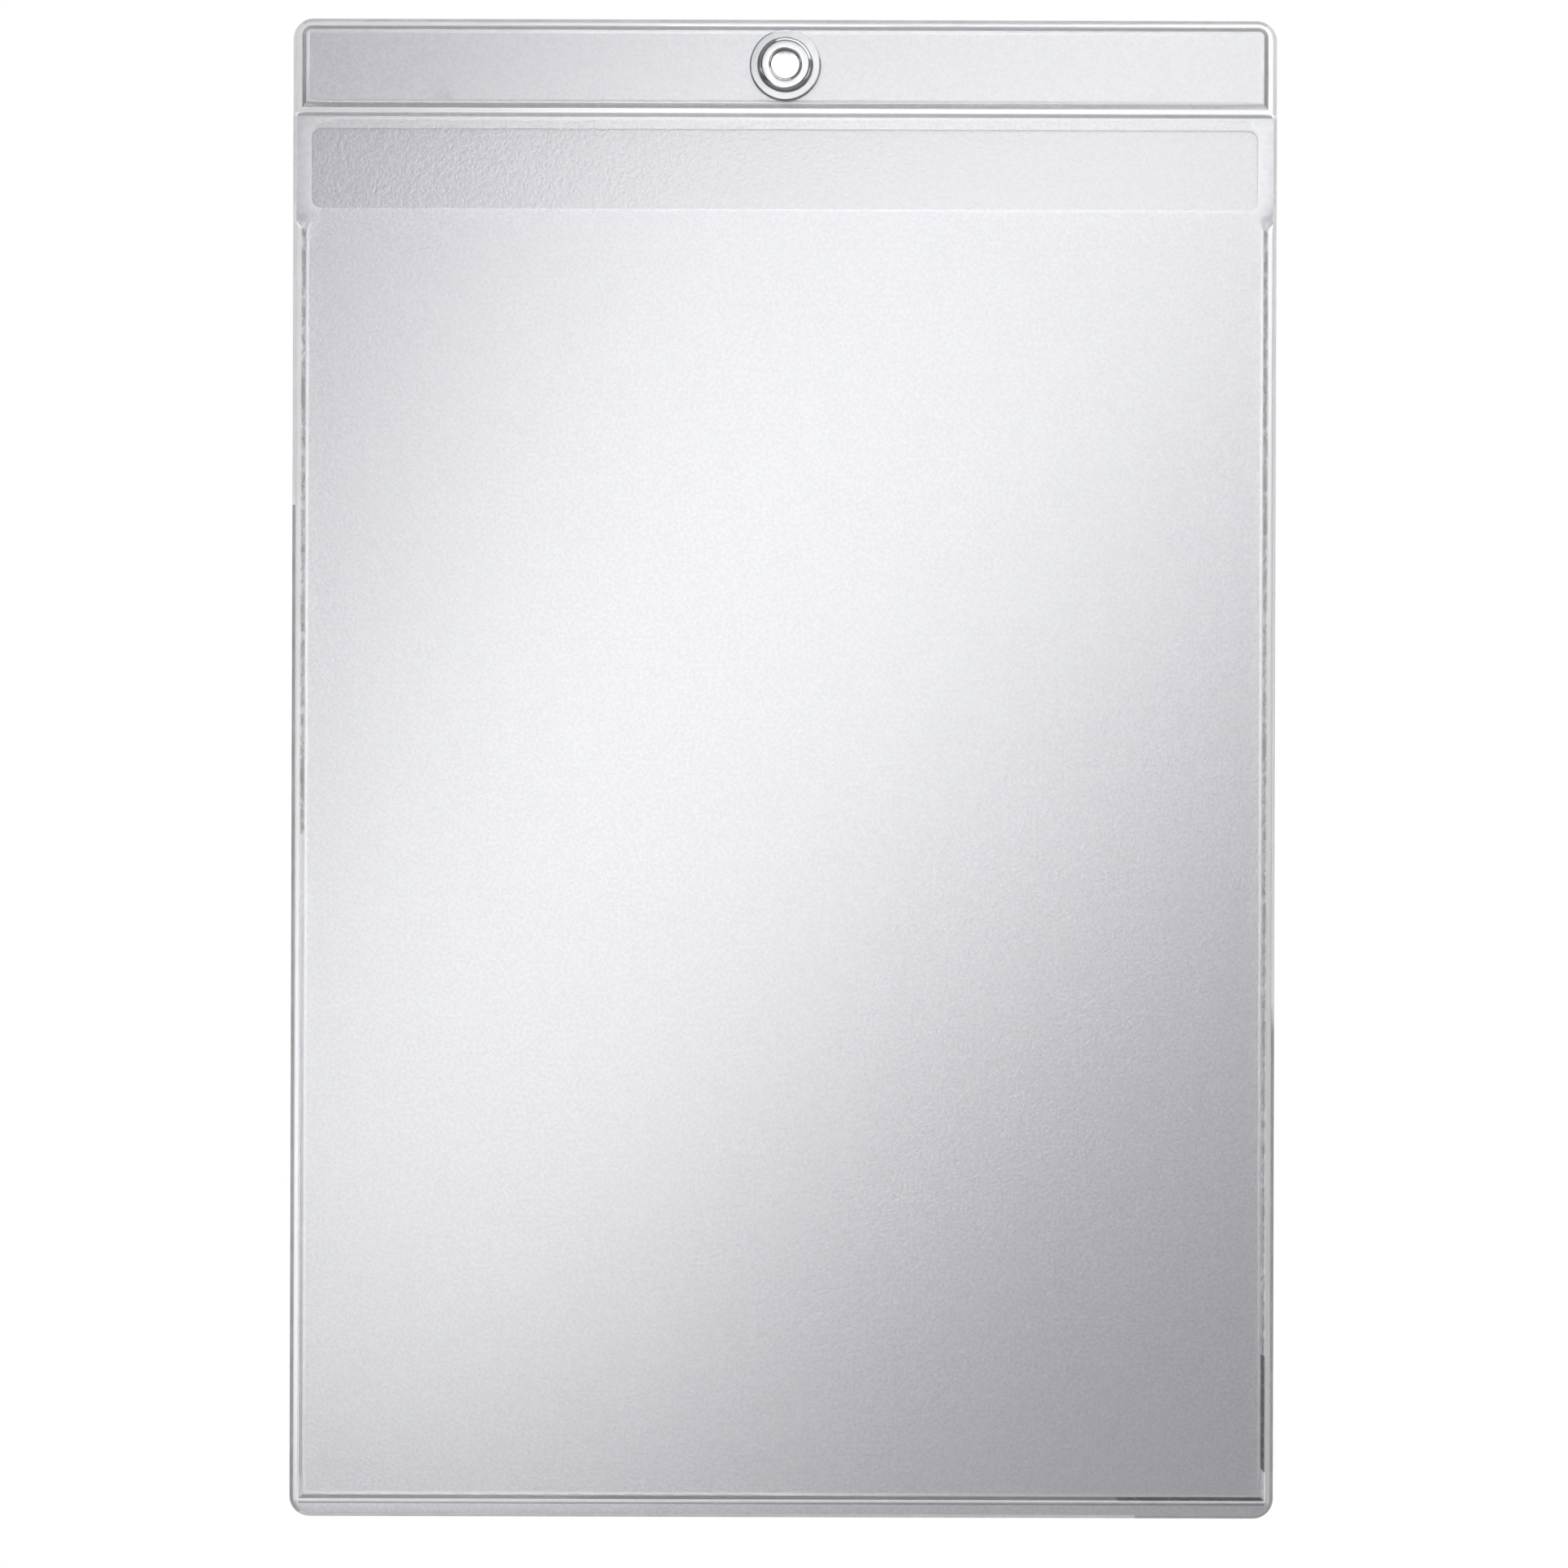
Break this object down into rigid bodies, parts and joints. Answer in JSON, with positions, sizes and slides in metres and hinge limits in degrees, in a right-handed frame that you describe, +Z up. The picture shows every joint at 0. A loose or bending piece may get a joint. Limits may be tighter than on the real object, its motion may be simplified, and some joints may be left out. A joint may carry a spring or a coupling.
{
  "type": "hanging document pocket",
  "caption": "Flat clear film pocket for an upright A4 sheet, with an insertion slot under a welded, stiffened header and a central eyelet to hang it by.",
  "frame": {"origin": "centre of the hanging hole, in the plane of the back film's rear face", "axes": "+Z up along the height, +X across the width, -Y out of the front"},
  "size_m": [0.22, 0.0062, 0.335],
  "materials": {
    "back_film": "clear soft film with a fine embossed grain",
    "front_film": "clear soft film with a fine embossed grain and glossy welds",
    "stiffener": "clear smooth strip",
    "eyelet": "clear polished moulding"
  },
  "bodies": {
    "pocket": {"back_film": "back_film", "front_margin": "front_film", "header_stiffener": "stiffener", "eyelet": "eyelet", "eyelet_washer": "eyelet"},
    "mouth": {"front_panel": "front_film"}
  },
  "joints": [
    {"name": "mouth_open", "type": "hinge", "parent": "pocket", "child": "mouth", "pos_m": [0, -0.00135, -0.3198], "axis": [1, 0, 0], "range_deg": [0, 2.5], "stiffness_Nm_per_rad": 0.4}
  ]
}
